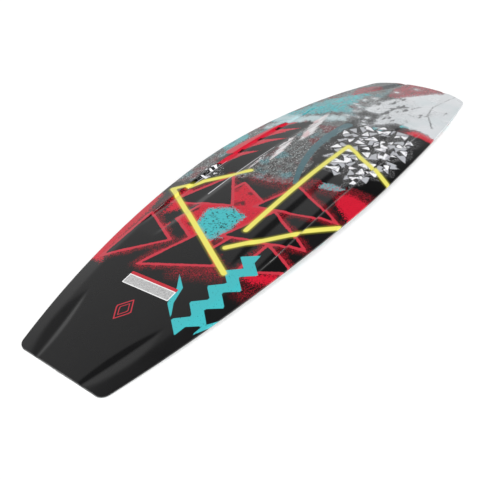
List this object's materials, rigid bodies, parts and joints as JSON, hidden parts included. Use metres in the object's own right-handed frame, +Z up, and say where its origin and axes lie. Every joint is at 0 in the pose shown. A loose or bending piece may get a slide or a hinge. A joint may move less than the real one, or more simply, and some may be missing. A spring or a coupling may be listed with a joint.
{
  "type": "wakeboard",
  "caption": "Twin-tip wakeboard lying base side up: rockered board with bevelled rails, long base channels, grooved tips and rows of threaded binding inserts in the deck.",
  "frame": {"origin": "on the ground under the middle of the board, which lies base side up and rests on its two tips", "axes": "+X to the nose, +Y to the left side as the board lies, +Z up, out of the base"},
  "size_m": [1.4, 0.4198, 0.0675],
  "materials": {
    "base_print": "glossy printed base sheet",
    "top_print": "glossy printed top sheet",
    "glass_laminate": "resin and glass fibre",
    "foam": "closed-cell foam",
    "stringer_wood": "raw wood",
    "rail_plastic": "moulded urethane",
    "block_plastic": "dense plastic",
    "insert_metal": "stainless steel",
    "label_film": "printed film"
  },
  "bodies": {
    "root": {"base_sheet": "base_print", "base_label": "label_film", "base_laminate": "glass_laminate", "core_centre": "foam", "core_left": "foam", "core_right": "foam", "stringer_left": "stringer_wood", "stringer_right": "stringer_wood", "rail_left": "rail_plastic", "rail_right": "rail_plastic", "nose_spacer": "rail_plastic", "tail_spacer": "rail_plastic", "top_laminate": "glass_laminate", "top_sheet": "top_print", "insert_block_front_left": "block_plastic", "binding_inserts_front_left": "insert_metal", "insert_block_front_right": "block_plastic", "binding_inserts_front_right": "insert_metal", "insert_block_rear_left": "block_plastic", "binding_inserts_rear_left": "insert_metal", "insert_block_rear_right": "block_plastic", "binding_inserts_rear_right": "insert_metal"}
  },
  "joints": []
}
